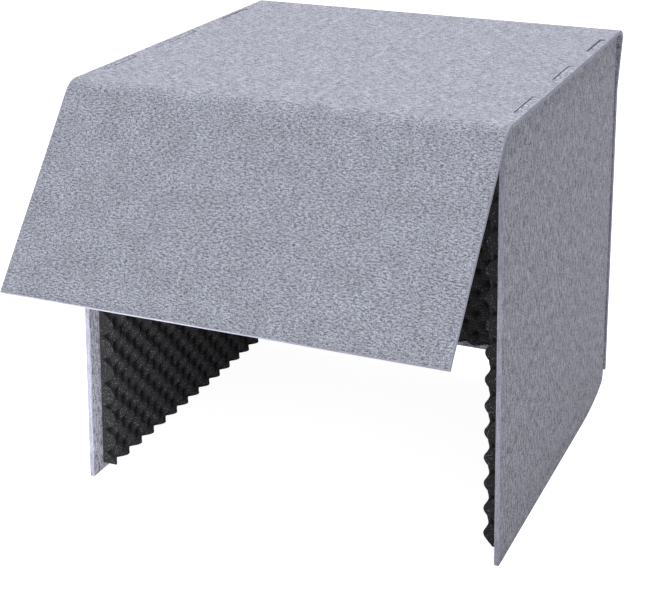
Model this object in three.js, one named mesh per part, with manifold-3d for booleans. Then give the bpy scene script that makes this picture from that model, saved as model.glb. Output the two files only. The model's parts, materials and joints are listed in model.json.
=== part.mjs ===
// Sound-damping enclosure for a desktop 3D printer, made of thick felt board lined with foam.
// One long sheet of felt makes the back, the top and the front flap. Two side panels plug into it
// with tabs, and foam liners are taped inside. Millimetres, +Z up, the open front faces -Y, and the
// origin is below the middle of the whole object, on the surface that it stands on.
import * as THREE from "three";
import { mergeVertices } from "three/addons/utils/BufferGeometryUtils.js";
import Module from "manifold-3d";

const wasm = await Module();
wasm.setup();

// Driving dimensions
const width = 800; // across the top sheet
const depth = 800; // from the front fold's corner to the back sheet's outer face
const height = 800; // from the surface to the top sheet's upper face
const felt = 9; // thickness of the felt board
const gap = 0.3; // between pieces that touch

const flapLength = 400; // from the fold's corner to the flap's lower edge
const flapAngle = THREE.MathUtils.degToRad(39.5); // how far the flap hangs out from vertical
const frontFoldRadius = 44; // outer radius of the fold between top and flap
const backFoldRadius = 14; // outer radius of the fold between top and back
const backClearance = 50; // cable gap below the back sheet
const backRim = 4; // how far the back sheet reaches past the side panels' outer faces

const sideInset = 8; // from the top sheet's side edge to the side panel's outer face
const footSplay = 26; // how much further out the side panels' feet stand
const sideSetback = 12; // from the fold's corner to the side panel's front edge
const cornerRise = 20; // how high the panel's lower edge sweeps up behind
const cornerRun = 155; // how long that sweep is
const cornerRadius = 26; // of the rear bottom corner above it
const foldRelief = 2; // clears the inside of the front fold at the panel's top front corner

const tabLength = 110;
const tabRecess = 0.6; // how far a tab's end stays below the outer face
const topTabPitch = 241;
const topTabMiddle = 392; // from the fold's corner to the middle top tab
const backTabPitch = 248;
const backTabMiddle = 415; // height of the middle back tab
const slotLength = 115;
const slotWidth = 12;
const slotMargin = 0.5; // between a tab's outer face and its slot

const foam = 30; // foam liner over its peaks
const foamFrontInset = 33; // bare felt along a side panel's front edge
const foamFoot = 16; // bare felt below a side liner
const backFoamFoot = 20; // bare felt below the back liner
const linerEndGap = 2; // between a liner's edge and the felt beside it
const tape = 1; // double-sided tape
const tapeWidth = 25;
const tapeEndInset = 30; // from a tape's end to its liner's edge
const tapesPerLiner = 3;

const arcSteps = 12; // straight steps along each arc of an outline
const mergeTolerance = 1e-4; // corners closer than this are one

// Places worked out from the driving dimensions. The flap counts in the object's length.
const flapReach = flapLength * Math.sin(flapAngle);
const backY = (depth + flapReach) / 2;
const foldY = backY - depth;
const underTop = height - felt;
const insideBack = backY - felt;
const panelFrontY = foldY + sideSetback;
const linerGap = tape + 2 * gap; // from the felt to the foam
const foamFace = linerGap + foam; // from the felt to the foam's peaks
const foldTurn = Math.PI / 2 - flapAngle;
const foldTangent = frontFoldRadius * Math.tan(foldTurn / 2);

// Colours and finishes
const feltLook = { color: 0xa9a9b6, roughness: 0.95, metalness: 0 };
const foamLook = { color: 0x242426, roughness: 1, metalness: 0 };
const tapeLook = { color: 0xe8e6dc, roughness: 0.7, metalness: 0 };

// A node of its own: one solid under its own name, with its own material.
function node(name, geometry, look) {
  const mesh = new THREE.Mesh(geometry, new THREE.MeshStandardMaterial(look));
  mesh.name = name;
  return mesh;
}

// A closed outline in (y, z), swept along X from x0 to x1.
function sweepAlongX(outline, x0, x1) {
  const geometry = new THREE.ExtrudeGeometry(outline, {
    depth: x1 - x0,
    bevelEnabled: false,
    curveSegments: arcSteps,
  });
  const yAlongFirst = new THREE.Matrix4().makeBasis(
    new THREE.Vector3(0, 1, 0),
    new THREE.Vector3(0, 0, 1),
    new THREE.Vector3(1, 0, 0),
  );
  return geometry.applyMatrix4(yAlongFirst).translate(x0, 0, 0);
}

// A plain block between two corners.
function block(low, high) {
  const size = high.map((value, i) => value - low[i]);
  const middle = high.map((value, i) => (value + low[i]) / 2);
  return new THREE.BoxGeometry(...size).translate(...middle);
}

// A board beside the middle plane, from one distance to another, leaning as its side panel does.
function leaningBoard(side, [from, to], [y0, y1], [z0, z1]) {
  const near = Math.min(side * from, side * to);
  const far = Math.max(side * from, side * to);
  return splay(block([near, y0, z0], [far, y1, z1]), side * footSplay);
}

// A rectangle in (y, z).
function rectangle(y0, z0, y1, z1) {
  const outline = new THREE.Shape();
  outline.moveTo(y0, z0);
  outline.lineTo(y1, z0);
  outline.lineTo(y1, z1);
  outline.lineTo(y0, z1);
  outline.closePath();
  return outline;
}

function toSolid(geometry) {
  const bare = geometry.clone();
  bare.deleteAttribute("normal");
  bare.deleteAttribute("uv");
  const merged = mergeVertices(bare, mergeTolerance);
  return new wasm.Manifold(
    new wasm.Mesh({
      numProp: 3,
      vertProperties: new Float32Array(merged.attributes.position.array),
      triVerts: new Uint32Array(merged.index.array),
    }),
  );
}

function toGeometry(solid) {
  const mesh = solid.getMesh();
  const geometry = new THREE.BufferGeometry();
  geometry.setAttribute("position", new THREE.BufferAttribute(mesh.vertProperties, 3));
  geometry.setIndex(new THREE.BufferAttribute(mesh.triVerts, 1));
  const flat = geometry.toNonIndexed();
  flat.computeVertexNormals();
  return flat;
}

function cut(geometry, tools) {
  const whole = toSolid(geometry);
  const left = tools.reduce((solid, tool) => solid.subtract(toSolid(tool)), whole);
  return toGeometry(left);
}

function common(geometry, other) {
  return toGeometry(toSolid(geometry).intersect(toSolid(other)));
}

// Middles of three tabs in a row.
function tabRow(middle, pitch) {
  return [-1, 0, 1].map((step) => middle + step * pitch);
}

const topTabs = tabRow(foldY + topTabMiddle, topTabPitch);
const backTabs = tabRow(backTabMiddle, backTabPitch);

// The side panel's outer face where it meets the top sheet, measured from the middle plane.
const panelFace = width / 2 - sideInset;

// Leans a shape that was drawn upright: nothing moves at the top's height, the foot moves most.
function splay(geometry, footShift) {
  const points = geometry.attributes.position;
  for (let i = 0; i < points.count; i += 1) {
    const down = (height - points.getZ(i)) / height;
    points.setX(i, points.getX(i) + footShift * down);
  }
  return geometry;
}

// A slot's extent across the sheet, around a tab.
function slotSpan(side) {
  const outer = panelFace + slotMargin;
  const ends = [side * outer, side * (outer - slotWidth)];
  return ends.sort((a, b) => a - b);
}

// The felt sheet's top, with three slots along each side.
function topSheet() {
  const front = foldY + foldTangent + gap;
  const rear = backY - backFoldRadius - gap;
  const sheet = sweepAlongX(rectangle(front, underTop, rear, height), -width / 2, width / 2);
  const slots = [-1, 1].flatMap((side) =>
    topTabs.map((y) => {
      const [x0, x1] = slotSpan(side);
      return block(
        [x0, y - slotLength / 2, underTop - felt],
        [x1, y + slotLength / 2, height + felt],
      );
    }),
  );
  return node("top_sheet", cut(sheet, slots), { ...feltLook });
}

// The felt sheet's back: the rear fold and the drop below it, with three slots along each side.
// Below the fold its side edges follow the leaning panels.
function backSheet() {
  const centreY = backY - backFoldRadius;
  const centreZ = height - backFoldRadius;
  const outline = new THREE.Shape();
  outline.moveTo(backY, backClearance);
  outline.lineTo(backY, centreZ);
  outline.absarc(centreY, centreZ, backFoldRadius, 0, Math.PI / 2, false);
  outline.lineTo(centreY, underTop);
  outline.absarc(centreY, centreZ, backFoldRadius - felt, Math.PI / 2, 0, true);
  outline.lineTo(insideBack, backClearance);
  outline.closePath();
  const wide = width / 2 + footSplay;
  const sheet = sweepAlongX(outline, -wide, wide);
  const before = insideBack - backFoldRadius;
  const behind = backY + felt;
  const trims = [-1, 1].flatMap((side) => {
    const besideFold = [side * (width / 2), side * (wide + felt)].sort((a, b) => a - b);
    const besideDrop = [side * (panelFace + backRim), side * (wide + footSplay)];
    besideDrop.sort((a, b) => a - b);
    return [
      block([besideFold[0], before, centreZ], [besideFold[1], behind, height + felt]),
      splay(
        block([besideDrop[0], before, 0], [besideDrop[1], behind, centreZ]),
        side * footSplay,
      ),
    ];
  });
  const slots = [-1, 1].flatMap((side) =>
    backTabs.map((z) => {
      const [x0, x1] = slotSpan(side);
      const straight = block(
        [x0, insideBack - felt, z - slotLength / 2],
        [x1, backY + felt, z + slotLength / 2],
      );
      return splay(straight, side * footSplay);
    }),
  );
  return node("back_sheet", cut(sheet, [...trims, ...slots]), { ...feltLook });
}

// The felt sheet's front fold, which bends as the flap is lifted.
function flapFold() {
  const centreY = foldY + foldTangent;
  const centreZ = height - frontFoldRadius;
  const start = Math.PI / 2;
  const end = start + foldTurn;
  const outline = new THREE.Shape();
  outline.absarc(centreY, centreZ, frontFoldRadius, start, end, false);
  outline.absarc(centreY, centreZ, frontFoldRadius - felt, end, start, true);
  outline.closePath();
  const fold = sweepAlongX(outline, -width / 2, width / 2);
  return node("flap_fold", fold, { ...feltLook });
}

// The flap, drawn hanging straight down from its fold's corner and swung out to its angle.
function frontFlap() {
  const flap = sweepAlongX(
    rectangle(0, -flapLength, felt, -foldTangent - gap),
    -width / 2,
    width / 2,
  );
  const mesh = node("front_flap", flap, { ...feltLook });
  mesh.rotation.x = -flapAngle;
  mesh.position.set(0, foldY, height);
  return mesh;
}

// A side panel's outline in (y, z): three tabs on top, three behind, and a lower edge that sweeps
// up to a rounded rear corner.
function sidePanelOutline() {
  const top = underTop - gap;
  const rear = insideBack - gap;
  const rearRelief = backFoldRadius - felt; // clears the inside of the rear fold
  const sweepRadius = (cornerRun ** 2 + cornerRise ** 2) / (2 * cornerRise);
  const sweepTurn = Math.asin(cornerRun / sweepRadius);
  const cornerY = rear - cornerRadius;
  const sweepEnd = cornerY + cornerRadius * Math.sin(sweepTurn);
  const sweepY = sweepEnd - cornerRun;
  const cornerZ = cornerRise + cornerRadius * Math.cos(sweepTurn);
  const down = -Math.PI / 2;
  const outline = new THREE.Shape();
  outline.moveTo(panelFrontY, 0);
  outline.lineTo(sweepY, 0);
  outline.absarc(sweepY, sweepRadius, sweepRadius, down, down + sweepTurn, false);
  outline.absarc(cornerY, cornerZ, cornerRadius, down + sweepTurn, 0, false);
  for (const z of backTabs) {
    outline.lineTo(rear, z - tabLength / 2);
    outline.lineTo(backY - tabRecess, z - tabLength / 2);
    outline.lineTo(backY - tabRecess, z + tabLength / 2);
    outline.lineTo(rear, z + tabLength / 2);
  }
  outline.lineTo(rear, top - rearRelief);
  outline.lineTo(rear - rearRelief, top);
  for (const y of [...topTabs].reverse()) {
    outline.lineTo(y + tabLength / 2, top);
    outline.lineTo(y + tabLength / 2, height - tabRecess);
    outline.lineTo(y - tabLength / 2, height - tabRecess);
    outline.lineTo(y - tabLength / 2, top);
  }
  outline.lineTo(foldY + foldTangent, top);
  outline.lineTo(panelFrontY, top - foldRelief);
  outline.closePath();
  return outline;
}

// A side panel: its outline cut from a leaning board.
function sidePanel(name, side) {
  const board = leaningBoard(side, [panelFace - felt, panelFace], [foldY, backY], [0, height]);
  const outline = sweepAlongX(sidePanelOutline(), -width, width);
  return node(name, common(board, outline), { ...feltLook });
}

// A side liner and the tape strips behind it, leaning with their panel.
function sideLiner(name, side) {
  const y0 = panelFrontY + foamFrontInset;
  const y1 = insideBack - foamFace - linerEndGap;
  const z0 = foamFoot;
  const z1 = underTop - foamFace - linerEndGap;
  const inner = panelFace - felt;
  const slab = leaningBoard(side, [inner - foamFace, inner - linerGap], [y0, y1], [z0, z1]);
  const strips = spread(y0, y1).map((y, i) =>
    node(
      `${name}_foam_tape_${i + 1}`,
      leaningBoard(
        side,
        [inner - gap - tape, inner - gap],
        [y - tapeWidth / 2, y + tapeWidth / 2],
        [z0 + tapeEndInset, z1 - tapeEndInset],
      ),
      { ...tapeLook },
    ),
  );
  return [node(`${name}_foam`, slab, { ...foamLook }), ...strips];
}

// Places of the tape strips, evenly spread over a liner with the outer ones near its edges.
function spread(from, to) {
  const first = from + tapeEndInset + tapeWidth / 2;
  const last = to - tapeEndInset - tapeWidth / 2;
  const step = (last - first) / (tapesPerLiner - 1);
  return Array.from({ length: tapesPerLiner }, (_, i) => first + i * step);
}

// The back and top liners span from side panel to side panel.
const linerHalfWidth = panelFace - felt - linerEndGap;

function backLiner() {
  const z0 = backClearance + backFoamFoot;
  const z1 = underTop - foamFace - linerEndGap;
  const y1 = insideBack - linerGap;
  const liner = node(
    "back_foam",
    block([-linerHalfWidth, y1 - foam, z0], [linerHalfWidth, y1, z1]),
    { ...foamLook },
  );
  const strips = spread(-linerHalfWidth, linerHalfWidth).map((x, i) =>
    node(
      `back_foam_tape_${i + 1}`,
      block(
        [x - tapeWidth / 2, insideBack - gap - tape, z0 + tapeEndInset],
        [x + tapeWidth / 2, insideBack - gap, z1 - tapeEndInset],
      ),
      { ...tapeLook },
    ),
  );
  return [liner, ...strips];
}

function topLiner() {
  const y0 = panelFrontY + foamFrontInset;
  const y1 = insideBack - linerEndGap;
  const z1 = underTop - linerGap;
  const liner = node(
    "top_foam",
    block([-linerHalfWidth, y0, z1 - foam], [linerHalfWidth, y1, z1]),
    { ...foamLook },
  );
  const strips = spread(-linerHalfWidth, linerHalfWidth).map((x, i) =>
    node(
      `top_foam_tape_${i + 1}`,
      block(
        [x - tapeWidth / 2, y0 + tapeEndInset, underTop - gap - tape],
        [x + tapeWidth / 2, y1 - tapeEndInset, underTop - gap],
      ),
      { ...tapeLook },
    ),
  );
  return [liner, ...strips];
}

const enclosure = new THREE.Group();
enclosure.add(topSheet(), backSheet(), flapFold(), frontFlap());
enclosure.add(sidePanel("left_side_panel", -1), sidePanel("right_side_panel", 1));
enclosure.add(...sideLiner("left", -1), ...sideLiner("right", 1), ...backLiner(), ...topLiner());

export default enclosure;
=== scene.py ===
# Felt enclosure for a desktop 3D printer: one long felt sheet folded over two side panels, with
# egg-crate foam taped inside. The frame gives the places; lengths in the dictionaries are in mm.
import json
import math

import bmesh
import bpy
import numpy as np
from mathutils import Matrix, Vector, noise


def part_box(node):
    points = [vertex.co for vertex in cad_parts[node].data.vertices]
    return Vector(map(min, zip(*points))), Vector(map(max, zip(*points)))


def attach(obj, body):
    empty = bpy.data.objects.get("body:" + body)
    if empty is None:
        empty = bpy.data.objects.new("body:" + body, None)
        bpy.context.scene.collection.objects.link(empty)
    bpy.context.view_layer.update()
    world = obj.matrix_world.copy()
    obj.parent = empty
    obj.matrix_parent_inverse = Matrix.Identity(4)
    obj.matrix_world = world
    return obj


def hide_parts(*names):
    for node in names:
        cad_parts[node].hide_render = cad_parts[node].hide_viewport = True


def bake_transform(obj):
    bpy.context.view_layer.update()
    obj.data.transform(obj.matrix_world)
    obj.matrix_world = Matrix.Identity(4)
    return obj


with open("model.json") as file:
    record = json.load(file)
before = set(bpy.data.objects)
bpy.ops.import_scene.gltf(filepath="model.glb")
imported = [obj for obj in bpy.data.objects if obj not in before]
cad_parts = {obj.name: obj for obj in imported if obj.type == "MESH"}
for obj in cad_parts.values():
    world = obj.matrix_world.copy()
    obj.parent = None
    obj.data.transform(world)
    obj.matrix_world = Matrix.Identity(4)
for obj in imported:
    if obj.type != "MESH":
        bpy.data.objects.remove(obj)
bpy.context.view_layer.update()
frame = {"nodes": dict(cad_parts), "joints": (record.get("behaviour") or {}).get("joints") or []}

mm = 0.001

# what the frame gives, in metres
hinge = frame["joints"][0]
topLow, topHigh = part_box("top_sheet")
backLow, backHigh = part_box("back_sheet")
panelLow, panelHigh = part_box("right_side_panel")
height = topHigh.z
halfWidth = topHigh.x
felt = topHigh.z - topLow.z
backY = backHigh.y
panelFace = panelLow.x + felt  # outer face of a side panel, just below the top
flapAngle = math.radians(-hinge["range_deg"][0])  # the flap hangs straight down at its lower limit
hingeLift = hinge["pos_m"][2] - height
foldY = hinge["pos_m"][1] + hingeLift * math.cos(flapAngle) / (1 + math.sin(flapAngle))
foldTurn = math.pi / 2 - flapAngle

fit = {
    "touching": 0.3,  # between pieces that touch
    "footSplay": 26,  # how far a side panel's foot stands out past its top
    "backRim": 4,  # how far the back sheet reaches past the side panels' outer faces
    "slotEdge": 7.5,  # felt left outside a slot
    "slotWidth": 12,
    "slotLength": 115,
    "tabLength": 110,
    "tabRecess": 0.6,
    "topPitch": 241,
    "topMiddle": 392,  # behind the fold's corner
    "backPitch": 248,
    "backMiddle": 415,  # above the floor
    "linerGap": 1.6,  # tape between felt and foam
}
threeSteps = (-1, 0, 1)
topTabs = [foldY + (fit["topMiddle"] + step * fit["topPitch"]) * mm for step in threeSteps]
backTabs = [(fit["backMiddle"] + step * fit["backPitch"]) * mm for step in threeSteps]


# ---- colours and nodes

def toLinear(hexColour):
    channels = [int(hexColour[i:i + 2], 16) / 255 for i in (1, 3, 5)]
    return [c / 12.92 if c <= 0.04045 else ((c + 0.055) / 1.055) ** 2.4 for c in channels] + [1]


def addNode(tree, kind, settings, links=()):
    node = tree.nodes.new(kind)
    for name, value in settings.items():
        if isinstance(name, int) or name in node.inputs:
            node.inputs[name].default_value = value
        else:
            setattr(node, name, value)
    for name, socket in dict(links).items():
        tree.links.new(socket, node.inputs[name])
    return node


def newMaterial(name):
    material = bpy.data.materials.new(name)
    material.use_nodes = True
    return material, material.node_tree, material.node_tree.nodes["Principled BSDF"]


# needled polyester felt board: a matt heather of pale and dark fibres, with a cool cast; these
# settings give the flap's fine, even grain
needled = {
    "dark": "#626675",
    "pale": "#c9ccd9",
    "spread": 0.4,
    "tuft": 2.5,
    "streakLength": 6.5,
    "streakWidth": 2.6,  # real fibres are 0.03 mm, drawn coarse so that they show
    "cloud": 45,
    "relief": 0.3,
    "foldDarkening": 0.93,  # the front fold reads a little darker
}
# the top and the back show longer streaks across the web
combedNeedled = dict(needled, dark="#636573", pale="#cacbd9", spread=0.4, tuft=3.2, streakLength=13,
                     streakWidth=3.5, relief=0.2)
# and the side panels the longest, running up and down
streakedNeedled = dict(combedNeedled, spread=0.35, tuft=3.8, streakLength=18, streakWidth=4.2)


def needledFelt(name, needled, foldSpan):
    material, tree, surface = newMaterial(name)
    place = addNode(tree, "ShaderNodeAttribute", {"attribute_name": "flatPlace"}).outputs["Vector"]
    tufts = addNode(tree, "ShaderNodeTexNoise", {
        "Scale": 1 / (needled["tuft"] * mm), "Detail": 2.0, "Roughness": 0.7,
    }, {"Vector": place})
    cloud = addNode(tree, "ShaderNodeTexNoise", {
        "Scale": 1 / (needled["cloud"] * mm), "Detail": 3.0, "Roughness": 0.5,
    }, {"Vector": place})
    thin = 1 / (needled["streakWidth"] * mm)
    combed = addNode(tree, "ShaderNodeMapping", {
        "Scale": (1 / (needled["streakLength"] * mm), thin, thin),
    }, {"Vector": place})
    streaks = addNode(tree, "ShaderNodeTexNoise", {
        "Scale": 1.0, "Detail": 2.0, "Roughness": 0.65, "Distortion": 0.3,
    }, {"Vector": combed.outputs["Vector"]})
    heather = addNode(tree, "ShaderNodeMath", {"operation": "ADD"},
                      {0: tufts.outputs[0], 1: streaks.outputs[0]})
    shade = addNode(tree, "ShaderNodeMapRange", {
        "From Min": 1 - needled["spread"] / 2, "From Max": 1 + needled["spread"] / 2,
    }, {"Value": heather.outputs[0]})
    cloudy = addNode(tree, "ShaderNodeMapRange", {
        "From Min": 0.3, "From Max": 0.7, "To Min": 0.91, "To Max": 1.08,
    }, {"Value": cloud.outputs[0]})
    mixed = addNode(tree, "ShaderNodeMix", {
        "data_type": "RGBA", 6: toLinear(needled["dark"]), 7: toLinear(needled["pale"]),
    }, {0: shade.outputs[0]})
    apart = addNode(tree, "ShaderNodeSeparateXYZ", {}, {0: place})
    middle = (foldSpan[0] + foldSpan[1]) / 2
    fromFold = addNode(tree, "ShaderNodeMath", {"operation": "SUBTRACT", 1: middle},
                       {0: apart.outputs["Y"]})
    away = addNode(tree, "ShaderNodeMath", {"operation": "ABSOLUTE"}, {0: fromFold.outputs[0]})
    # the felt is coloured darker across the middle of the front fold
    foldBand = addNode(tree, "ShaderNodeMapRange", {
        "interpolation_type": "SMOOTHSTEP", "From Min": 0.2 * (foldSpan[1] - foldSpan[0]),
        "From Max": 0.7 * (foldSpan[1] - foldSpan[0]), "To Min": needled["foldDarkening"], "To Max": 1.0,
    }, {"Value": away.outputs[0]})
    tone = addNode(tree, "ShaderNodeMath", {"operation": "MULTIPLY"},
                   {0: cloudy.outputs[0], 1: foldBand.outputs[0]})
    toned = addNode(tree, "ShaderNodeVectorMath", {"operation": "SCALE"},
                    {0: mixed.outputs[2], "Scale": tone.outputs[0]})
    bump = addNode(tree, "ShaderNodeBump", {"Strength": needled["relief"], "Distance": 1 * mm},
                   {"Height": heather.outputs[0]})
    tree.links.new(toned.outputs[0], surface.inputs["Base Color"])
    tree.links.new(bump.outputs["Normal"], surface.inputs["Normal"])
    surface.inputs["Roughness"].default_value = 0.96
    surface.inputs["IOR"].default_value = 1.5
    surface.inputs["Specular IOR Level"].default_value = 0.25
    surface.inputs["Sheen Weight"].default_value = 0.1
    surface.inputs["Sheen Roughness"].default_value = 0.6
    return material


# the same board where it is die-cut, painted paler than the faces: a painted highlight for the light
# its cut edges catch, with the layers of the web showing as fine lines
dieCut = {
    "dark": "#9494a6",
    "pale": "#c8c8da",
    "layer": 1.6,
    "layerLength": 30,
    "tuft": 2.4,
    "relief": 0.3,
}


def cutFelt():
    material, tree, surface = newMaterial("cutFelt")
    place = addNode(tree, "ShaderNodeAttribute", {"attribute_name": "flatPlace"}).outputs["Vector"]
    along = 1 / (dieCut["layerLength"] * mm)
    stretched = addNode(tree, "ShaderNodeMapping",
                        {"Scale": (along, along, 1 / (dieCut["layer"] * mm))}, {"Vector": place})
    layers = addNode(tree, "ShaderNodeTexNoise", {"Scale": 1.0, "Detail": 2.0, "Roughness": 0.5},
                     {"Vector": stretched.outputs["Vector"]})
    tufts = addNode(tree, "ShaderNodeTexNoise", {
        "Scale": 1 / (dieCut["tuft"] * mm), "Detail": 2.0, "Roughness": 0.6,
    }, {"Vector": place})
    both = addNode(tree, "ShaderNodeMath", {"operation": "ADD"},
                   {0: layers.outputs[0], 1: tufts.outputs[0]})
    shade = addNode(tree, "ShaderNodeMapRange", {"From Min": 0.75, "From Max": 1.25},
                    {"Value": both.outputs[0]})
    # painted highlight: these colours are paler than the faces' to stand in for the light on the cut
    # edges
    mixed = addNode(tree, "ShaderNodeMix", {
        "data_type": "RGBA", 6: toLinear(dieCut["dark"]), 7: toLinear(dieCut["pale"]),
    }, {0: shade.outputs[0]})
    bump = addNode(tree, "ShaderNodeBump", {"Strength": dieCut["relief"], "Distance": 1 * mm},
                   {"Height": both.outputs[0]})
    tree.links.new(mixed.outputs[2], surface.inputs["Base Color"])
    tree.links.new(bump.outputs["Normal"], surface.inputs["Normal"])
    surface.inputs["Roughness"].default_value = 0.92
    surface.inputs["Specular IOR Level"].default_value = 0.25
    return material


# open-cell polyurethane foam, charcoal: dull, pitted, with painted glints where cut cell walls catch
# the light
crateLook = {
    "dark": "#161618",
    "pale": "#434346",
    "glint": "#a0a0a4",
    "cell": 2.4,  # real cells are 0.5 mm, drawn coarse so that they show
    "glintCell": 3.6,
    "glintSize": 0.17,
    "relief": 0.6,
    "pitShade": 0.05,  # the pits are painted darker than the light alone leaves them
}


def crateFoam():
    material, tree, surface = newMaterial("crateFoam")
    place = addNode(tree, "ShaderNodeAttribute", {"attribute_name": "flatPlace"}).outputs["Vector"]
    cells = addNode(tree, "ShaderNodeTexNoise", {
        "Scale": 1 / (crateLook["cell"] * mm), "Detail": 3.0, "Roughness": 0.7,
    }, {"Vector": place})
    shade = addNode(tree, "ShaderNodeMapRange", {"From Min": 0.3, "From Max": 0.7},
                    {"Value": cells.outputs[0]})
    mixed = addNode(tree, "ShaderNodeMix", {
        "data_type": "RGBA", 6: toLinear(crateLook["dark"]), 7: toLinear(crateLook["pale"]),
    }, {0: shade.outputs[0]})
    # painted glints: small bright spots mixed into the base colour, standing in for light on cut cell
    # walls
    spots = addNode(tree, "ShaderNodeTexVoronoi", {
        "Scale": 1 / (crateLook["glintCell"] * mm), "Randomness": 1.0,
    }, {"Vector": place})
    near = addNode(tree, "ShaderNodeMath", {"operation": "LESS_THAN", 1: crateLook["glintSize"]},
                   {0: spots.outputs["Distance"]})
    lit = addNode(tree, "ShaderNodeMix", {"data_type": "RGBA", 7: toLinear(crateLook["glint"])},
                  {0: near.outputs[0], 6: mixed.outputs[2]})
    apart = addNode(tree, "ShaderNodeSeparateXYZ", {}, {0: place})
    depth = addNode(tree, "ShaderNodeMapRange", {
        "interpolation_type": "SMOOTHSTEP", "From Min": crate["valley"] * mm,
        "From Max": 0.8 * crate["peak"] * mm, "To Min": crateLook["pitShade"], "To Max": 1.0,
    }, {"Value": apart.outputs["Z"]})
    shaded = addNode(tree, "ShaderNodeVectorMath", {"operation": "SCALE"},
                     {0: lit.outputs[2], "Scale": depth.outputs[0]})
    bump = addNode(tree, "ShaderNodeBump", {"Strength": crateLook["relief"], "Distance": 1 * mm},
                   {"Height": cells.outputs[0]})
    tree.links.new(shaded.outputs[0], surface.inputs["Base Color"])
    tree.links.new(bump.outputs["Normal"], surface.inputs["Normal"])
    surface.inputs["Roughness"].default_value = 0.9
    surface.inputs["Specular IOR Level"].default_value = 0.2
    return material


# white double-sided tape: smooth, a little waxy, faintly mottled by the felt behind it
tapeLook = {"dark": "#d8d6cc", "pale": "#eeece4", "mottle": 6}


def whiteTape():
    material, tree, surface = newMaterial("whiteTape")
    place = addNode(tree, "ShaderNodeTexCoord", {}).outputs["Object"]
    mottle = addNode(tree, "ShaderNodeTexNoise", {
        "Scale": 1 / (tapeLook["mottle"] * mm), "Detail": 2.0,
    }, {"Vector": place})
    mixed = addNode(tree, "ShaderNodeMix", {
        "data_type": "RGBA", 6: toLinear(tapeLook["dark"]), 7: toLinear(tapeLook["pale"]),
    }, {0: mottle.outputs[0]})
    tree.links.new(mixed.outputs[2], surface.inputs["Base Color"])
    surface.inputs["Roughness"].default_value = 0.55
    return material


# ---- felt sheets, built from cells of a flat grid

faceSlot, cutSlot, fineSlot = 0, 1, 2  # a sheet's materials: its faces, its die-cut edges, the flap


def gridLines(marks, step):
    marks = sorted(set(round(mark, 6) for mark in marks))
    lines = []
    for start, end in zip(marks, marks[1:]):
        count = max(1, round((end - start) / step))
        lines += [start + (end - start) * i / count for i in range(count)]
    return lines + marks[-1:]


def feltSheet(name, us, vs, keep, place, edgeRound, materials, combed=(0, 1), plainEnd=None,
              fineFrom=None):
    kept = {(i, j) for i in range(len(us) - 1) for j in range(len(vs) - 1)
            if keep((us[i] + us[i + 1]) / 2, (vs[j] + vs[j + 1]) / 2)}
    mesh = bmesh.new()
    flat = mesh.verts.layers.float_vector.new("flatPlace")
    corners = {}

    def corner(i, j, side):
        if (i, j, side) not in corners:
            vert = mesh.verts.new(place(us[i], vs[j], side * felt))
            sheetPlace = (us[i], vs[j])
            vert[flat] = Vector((sheetPlace[combed[0]], sheetPlace[combed[1]], side * felt))
            corners[i, j, side] = vert
        return corners[i, j, side]

    for i, j in sorted(kept):
        ring = [(i, j), (i + 1, j), (i + 1, j + 1), (i, j + 1)]
        faces = [mesh.faces.new([corner(*at, 0) for at in ring]),
                 mesh.faces.new([corner(*at, 1) for at in reversed(ring)])]
        if fineFrom and vs[j] > fineFrom:
            for face in faces:
                face.material_index = fineSlot
        around = [(i, j - 1), (i + 1, j), (i, j + 1), (i - 1, j)]
        for k, beside in enumerate(around):
            if beside not in kept:
                a, b = ring[k], ring[(k + 1) % 4]
                wall = mesh.faces.new([corner(*b, 0), corner(*a, 0), corner(*a, 1), corner(*b, 1)])
                ended = plainEnd and plainEnd((us[a[0]] + us[b[0]]) / 2, (vs[a[1]] + vs[b[1]]) / 2)
                wall.material_index = faceSlot if ended else cutSlot
    bmesh.ops.recalc_face_normals(mesh, faces=mesh.faces)
    rims = [edge for edge in mesh.edges
            if sorted(face.material_index == cutSlot for face in edge.link_faces) == [False, True]]
    bmesh.ops.bevel(mesh, geom=rims, offset=edgeRound, segments=2, profile=0.6,
                    affect="EDGES", clamp_overlap=True, material=cutSlot)
    return finishPiece(name, mesh, materials)


def finishPiece(name, mesh, materials):
    data = bpy.data.meshes.new(name)
    mesh.to_mesh(data)
    mesh.free()
    for material in materials:
        data.materials.append(material)
    data.shade_smooth()
    data.set_sharp_from_angle(angle=math.radians(50))
    piece = bpy.data.objects.new(name, data)
    bpy.context.scene.collection.objects.link(piece)
    return piece


# ---- the long sheet: back, rear fold, top, front fold and flap

wrap = {
    "rearFold": 14,  # outer radii
    "frontFold": 44,
    "flapLength": 400,
    "cell": 14,
    "foldCell": 3,
    "edgeRound": 1.1,
    "streaked": 12,  # how far into the front fold the top's streaks go on
    "slotDrift": 45,  # the back's slots follow the leaning panels, over this width of felt
    "ripple": 1.3,  # the free flap isn't quite flat
    "rippleLength": 260,
    "bendStart": 6,  # where the sheet starts to turn with the flap, behind the fold's tangent
    "bendEnd": 28,  # and where it has turned, down the flap from the corner
}
foldTangent = wrap["frontFold"] * mm * math.tan(foldTurn / 2)
rearRadius = wrap["rearFold"] * mm
frontRadius = wrap["frontFold"] * mm
# stretches of the sheet's outer face from the back's lower edge: length, and how far it turns
stretches = [
    (height - rearRadius - backLow.z, 0.0),
    (rearRadius * math.pi / 2, math.pi / 2),
    (backY - rearRadius - foldY - foldTangent, 0.0),
    (frontRadius * foldTurn, foldTurn),
    (wrap["flapLength"] * mm - foldTangent, 0.0),
]
stretchEnds = [sum(length for length, turn in stretches[:i]) for i in range(len(stretches) + 1)]


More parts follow.
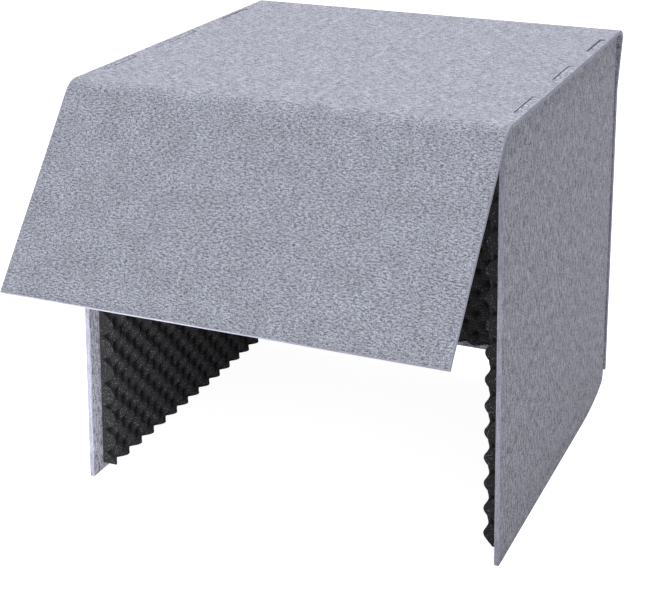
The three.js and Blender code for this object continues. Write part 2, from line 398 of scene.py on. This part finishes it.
# the outer face's point at a distance along the sheet, and the way into the felt there
def alongWrap(distance):
    point = Vector((backY, backLow.z))
    heading = math.pi / 2
    for length, turn in stretches:
        step = min(distance, length)
        if turn:
            radius = length / turn
            centre = point + radius * Vector((-math.sin(heading), math.cos(heading)))
            heading += step / radius
            point = centre - radius * Vector((-math.sin(heading), math.cos(heading)))
        else:
            point = point + step * Vector((math.cos(heading), math.sin(heading)))
        distance -= step
        if distance <= 0:
            break
    return point, Vector((-math.sin(heading), math.cos(heading)))


def placeWrap(x, distance, depth):
    point, inward = alongWrap(distance)
    if distance > stretchEnds[4]:
        free = (distance - stretchEnds[4]) / (stretchEnds[5] - stretchEnds[4])
        wave = noise.noise(Vector((x, distance, 0)) / (wrap["rippleLength"] * mm))
        depth += wrap["ripple"] * mm * wave * min(1, 2 * free)
    point = point + inward * depth
    if distance < stretchEnds[2]:  # below the fold the back keeps to the leaning panels
        slotOuter = halfWidth - fit["slotEdge"] * mm
        slotInner = slotOuter - fit["slotWidth"] * mm
        atSlot = fit["footSplay"] * mm * (height - point.y) / height
        narrow = halfWidth - panelFace - fit["backRim"] * mm
        atEdge = atSlot - narrow * min(1, (stretchEnds[2] - distance) / stretches[1][0])
        if abs(x) > slotOuter:
            outward = atSlot + (atEdge - atSlot) * (abs(x) - slotOuter) / (halfWidth - slotOuter)
        else:
            outward = atSlot * max(0, min(1, 1 + (abs(x) - slotInner) / (wrap["slotDrift"] * mm)))
        x += math.copysign(outward, x)
    return Vector((x, point.x, point.y))


def buildWrap(materials):
    slotHalf = fit["slotLength"] * mm / 2
    slotOuter = halfWidth - fit["slotEdge"] * mm
    slotInner = slotOuter - fit["slotWidth"] * mm
    middles = [z - backLow.z for z in backTabs]
    middles += [stretchEnds[2] + backY - rearRadius - y for y in topTabs]
    slots = [(middle - slotHalf, middle + slotHalf) for middle in middles]
    across = gridLines([-halfWidth, -slotOuter, -slotInner, slotInner, slotOuter, halfWidth],
                       wrap["cell"] * mm)
    marks = stretchEnds + [end for slot in slots for end in slot]
    along = []
    for start, end in zip(stretchEnds, stretchEnds[1:]):
        bent = (start, end) in ((stretchEnds[1], stretchEnds[2]), (stretchEnds[3], stretchEnds[4]))
        inside = [mark for mark in marks if start - 1e-7 <= mark <= end + 1e-7]
        along += gridLines(inside, wrap["foldCell" if bent else "cell"] * mm)[:-1]
    along.append(stretchEnds[-1])

    def keep(x, distance):
        return not (slotInner < abs(x) < slotOuter
                    and any(start < distance < end for start, end in slots))

    return feltSheet("feltWrap", across, along, keep, placeWrap, wrap["edgeRound"] * mm, materials,
                     fineFrom=stretchEnds[3] + wrap["streaked"] * mm)


# ---- side panels

panel = {
    "cell": 16,
    "edgeRound": 1.0,
    "sweepRise": 20,  # the lower edge sweeps up behind
    "sweepRun": 155,
    "corner": 26,  # radius of the rear bottom corner above the sweep
    "cornerSteps": 6,
    "cornerReach": 100,  # cells below this height are drawn up with the corner
    "rearRelief": 5,
    "sunkTab": 2,  # the rear tab on top sits deeper in its slot
}
hair = 1e-6  # two places closer than this are one
panelTop = topLow.z - fit["touching"] * mm
panelRear = backY - felt - fit["touching"] * mm
sweepRadius = (panel["sweepRun"] ** 2 + panel["sweepRise"] ** 2) / (2 * panel["sweepRise"]) * mm
sweepTurn = math.asin(panel["sweepRun"] * mm / sweepRadius)
cornerY = panelRear - panel["corner"] * mm
cornerZ = (panel["sweepRise"] + panel["corner"] * math.cos(sweepTurn)) * mm
sweepEnd = cornerY + panel["corner"] * mm * math.sin(sweepTurn)
sweepStart = sweepEnd - panel["sweepRun"] * mm


# how far a side panel's outer face stands out past its top
def leanOut(z):
    return fit["footSplay"] * mm * (height - z) / height


# height of a side panel's lower edge
def lowerEdge(y):
    if y < sweepStart:
        return 0
    if y < sweepEnd:
        return sweepRadius - math.sqrt(sweepRadius ** 2 - (y - sweepStart) ** 2)
    return cornerZ - math.sqrt(max(0, (panel["corner"] * mm) ** 2 - (y - cornerY) ** 2))


def buildPanel(name, side, materials):
    tabHalf = fit["tabLength"] * mm / 2
    relief = panel["rearRelief"] * mm
    reach = panel["cornerReach"] * mm
    tabTop = height - fit["tabRecess"] * mm
    tabRear = backY - fit["tabRecess"] * mm
    foldInside = (wrap["frontFold"] - fit["touching"]) * mm - felt
    turns = np.linspace(sweepTurn, math.pi / 2, panel["cornerSteps"])
    ys = gridLines([panelLow.y, foldY + foldTangent, sweepStart, panelRear - relief, tabRear]
                   + [cornerY + panel["corner"] * mm * math.sin(turn) for turn in turns]
                   + [y + end for y in topTabs for end in (-tabHalf, tabHalf)], panel["cell"] * mm)
    zs = gridLines([0, reach, panelTop - relief, panelTop, tabTop]
                   + [z + end for z in backTabs for end in (-tabHalf, tabHalf)], panel["cell"] * mm)

    def keep(y, z):
        if y < panelRear and z < panelTop:
            return True
        if z > panelTop:
            return any(abs(y - tab) < tabHalf for tab in topTabs)
        return any(abs(z - tab) < tabHalf for tab in backTabs)

    def place(y, z, depth):
        if z < reach and y < panelRear + hair:
            z += lowerEdge(y) * (1 - z / reach)
        if abs(y - panelRear) < hair and abs(z - panelTop) < hair:  # inside the rear fold
            y, z = y - relief / 2, z - relief / 2
        if y < foldY + foldTangent and z > panelTop - hair:  # and the front fold
            z = height - wrap["frontFold"] * mm + math.sqrt(
                foldInside ** 2 - (foldY + foldTangent - y) ** 2)
        if z > tabTop - hair and y > topTabs[2] - tabHalf - hair:
            z -= panel["sunkTab"] * mm
        return Vector((side * (panelFace + leanOut(z) - depth), y, z))

    def atTabEnd(y, z):
        return z > tabTop - hair or y > tabRear - hair

    return feltSheet(name, ys, zs, keep, place, panel["edgeRound"] * mm, materials,
                     combed=(1, 0), plainEnd=atTabEnd)


# ---- egg-crate liners

crate = {
    "pitch": 50,
    "peak": 30,
    "valley": 12,
    "cell": 5,
    "uneven": 0.04,  # share of the relief
    "roundness": 0.65,  # broad peaks, narrow pits
}


def buildLiner(name, width, length, phase, place, materials):
    nu, nv = round(width / (crate["cell"] * mm)), round(length / (crate["cell"] * mm))
    us, vs = np.linspace(0, width, nu + 1), np.linspace(0, length, nv + 1)
    pitch = crate["pitch"] * mm
    low, high = crate["valley"] * mm, crate["peak"] * mm
    mesh = bmesh.new()
    flat = mesh.verts.layers.float_vector.new("flatPlace")
    front, back = {}, {}
    for i, u in enumerate(us):
        for j, v in enumerate(vs):
            wave = (math.cos(2 * math.pi * (u - phase[0] * mm) / pitch)
                    * math.cos(2 * math.pi * (v - phase[1] * mm) / pitch))
            share = ((1 + wave) / 2) ** crate["roundness"]
            share *= 1 + crate["uneven"] * (noise.noise(Vector((u, v, phase[0])) / (0.8 * pitch)) - 1)
            rise = low + (high - low) * share
            front[i, j] = mesh.verts.new(place(u, v, rise))
            back[i, j] = mesh.verts.new(place(u, v, 0.0))
            front[i, j][flat] = Vector((u, v, rise))
            back[i, j][flat] = Vector((u, v, 2 * rise))  # cut edges are as pale as the peaks
    for i in range(nu):
        for j in range(nv):
            ring = [(i, j), (i + 1, j), (i + 1, j + 1), (i, j + 1)]
            mesh.faces.new([front[at] for at in ring])
            mesh.faces.new([back[at] for at in reversed(ring)])
    rim = [(i, 0) for i in range(nu)] + [(nu, j) for j in range(nv)]
    rim += [(i, nv) for i in range(nu, 0, -1)] + [(0, j) for j in range(nv, 0, -1)]
    for a, b in zip(rim, rim[1:] + rim[:1]):
        mesh.faces.new([front[b], front[a], back[a], back[b]])
    bmesh.ops.recalc_face_normals(mesh, faces=mesh.faces)
    return finishPiece(name, mesh, materials)


def buildSideLiner(name, side, phase, materials):
    low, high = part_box("right_foam")

    def place(u, v, rise):
        y, z = low.y + u, low.z + v
        depth = felt + fit["linerGap"] * mm + rise
        return Vector((side * (panelFace + leanOut(z) - depth), y, z))

    return buildLiner(name, high.y - low.y, high.z - low.z, phase, place, materials)


print("felt and foam finishes")
foldSpan = (stretchEnds[3], stretchEnds[4])
dieCutFelt = cutFelt()
panelLooks = [needledFelt("streakedFelt", streakedNeedled, foldSpan), dieCutFelt]
wrapLooks = [needledFelt("combedFelt", combedNeedled, foldSpan), dieCutFelt,
             needledFelt("fineFelt", needled, foldSpan)]
foamLooks = [crateFoam()]
tapeFinish = whiteTape()

print("side panels")
for sideName, side in (("left", -1), ("right", 1)):
    piece = buildPanel(sideName + "SideFelt", side, panelLooks)
    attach(piece, "shell")
    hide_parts(sideName + "_side_panel")

print("long felt sheet")
feltWrap = buildWrap(wrapLooks)
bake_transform(feltWrap)
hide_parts("top_sheet", "back_sheet", "flap_fold", "front_flap")

print("foam liners")
liners = {
    "left_foam": buildSideLiner("leftFoamLiner", -1, (0, 0), foamLooks),
    "right_foam": buildSideLiner("rightFoamLiner", 1, (25, 0), foamLooks),
}
backFoamLow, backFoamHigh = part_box("back_foam")
liners["back_foam"] = buildLiner(
    "backFoamLiner", backFoamHigh.x - backFoamLow.x, backFoamHigh.z - backFoamLow.z, (10, 0),
    lambda u, v, rise: Vector((backFoamLow.x + u, backFoamHigh.y - rise, backFoamLow.z + v)),
    foamLooks)
topFoamLow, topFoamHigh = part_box("top_foam")
liners["top_foam"] = buildLiner(
    "topFoamLiner", topFoamHigh.x - topFoamLow.x, topFoamHigh.y - topFoamLow.y, (0, 25),
    lambda u, v, rise: Vector((topFoamLow.x + u, topFoamLow.y + v, topFoamHigh.z - rise)),
    foamLooks)
for nodeName, piece in liners.items():
    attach(piece, "shell")
    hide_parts(nodeName)

for nodeName, piece in frame["nodes"].items():
    if "tape" in nodeName:
        piece.data.materials.clear()
        piece.data.materials.append(tapeFinish)


# ---- floor, light and camera

studio = {
    "floor": "#bcbcbc",
    "floorGlow": 0.14,  # a light table
    "seenGlow": 0.8,
    "skyLight": 0.36,
    "topLight": 2.75,
    "topFrom": (-0.15, 0.05, 1.0),
    "lowLight": 3.2,  # reaches in below the flap
    "lowPlace": (-0.15, -0.7, 0.12),
    "lowAim": (-0.3, 0.2, 0.4),
    "lowSize": 0.25,
}
view = {
    "azimuth": 23.18,
    "elevation": 22.06,
    "distance": 2984,
    "right": -79.8,
    "up": -88.15,
    "lens": 83.76,
}

print("studio")
floorMaterial, floorTree, floorSurface = newMaterial("paleFloor")
floorSurface.inputs["Base Color"].default_value = toLinear(studio["floor"])
floorSurface.inputs["Roughness"].default_value = 0.9
floorSurface.inputs["Specular IOR Level"].default_value = 0.1
seen = addNode(floorTree, "ShaderNodeLightPath", {})
glow = addNode(floorTree, "ShaderNodeMath", {
    "operation": "MULTIPLY_ADD", 1: studio["seenGlow"], 2: studio["floorGlow"],
}, {0: seen.outputs["Is Camera Ray"]})
floorSurface.inputs["Emission Color"].default_value = (1, 1, 1, 1)
floorTree.links.new(glow.outputs[0], floorSurface.inputs["Emission Strength"])
floorMesh = bmesh.new()
bmesh.ops.create_grid(floorMesh, x_segments=4, y_segments=4, size=12)
floor = finishPiece("studioFloor", floorMesh, [floorMaterial])
floor.location.z = -0.2 * mm

world = bpy.data.worlds.new("studioSky")
world.use_nodes = True
bpy.context.scene.world = world
sky = world.node_tree.nodes["Background"]
sky.inputs["Color"].default_value = (1, 1, 1, 1)
pathNode = addNode(world.node_tree, "ShaderNodeLightPath", {})
strength = addNode(world.node_tree, "ShaderNodeMapRange",
                   {"To Min": studio["skyLight"], "To Max": 1.05},
                   {"Value": pathNode.outputs["Is Camera Ray"]})
world.node_tree.links.new(strength.outputs[0], sky.inputs["Strength"])


def addLamp(name, kind, energy, place, direction):
    lamp = bpy.data.lights.new(name, kind)
    lamp.energy = energy
    holder = bpy.data.objects.new(name, lamp)
    holder.location = place
    holder.rotation_mode = "QUATERNION"
    holder.rotation_quaternion = Vector(direction).to_track_quat("Z", "Y")
    bpy.context.scene.collection.objects.link(holder)
    return holder


overhead = addLamp("overheadLight", "SUN", studio["topLight"], (0, 0, 3), studio["topFrom"])
overhead.data.angle = math.radians(60)
lowBack = Vector(studio["lowPlace"]) - Vector(studio["lowAim"])
lowBox = addLamp("lowSoftBox", "AREA", studio["lowLight"], studio["lowPlace"], lowBack)
lowBox.data.size = studio["lowSize"]
lowBox.visible_camera = False

camera = bpy.data.cameras.new("studioCamera")
camera.lens = view["lens"]
camera.sensor_width = 36
camera.clip_end = 60
cameraHolder = bpy.data.objects.new("studioCamera", camera)
azimuth, elevation = math.radians(view["azimuth"]), math.radians(view["elevation"])
back = Vector((math.sin(azimuth) * math.cos(elevation), -math.cos(azimuth) * math.cos(elevation),
               math.sin(elevation)))
right = Vector((math.cos(azimuth), math.sin(azimuth), 0))
up = back.cross(right)
target = Vector((0, (foldY + backY) / 2, height / 2)) + (right * view["right"] + up * view["up"]) * mm
cameraHolder.location = target + back * view["distance"] * mm
cameraHolder.rotation_mode = "QUATERNION"
cameraHolder.rotation_quaternion = (-back).to_track_quat("-Z", "Y")
bpy.context.scene.collection.objects.link(cameraHolder)
bpy.context.scene.camera = cameraHolder
bpy.context.scene.view_settings.view_transform = "Standard"
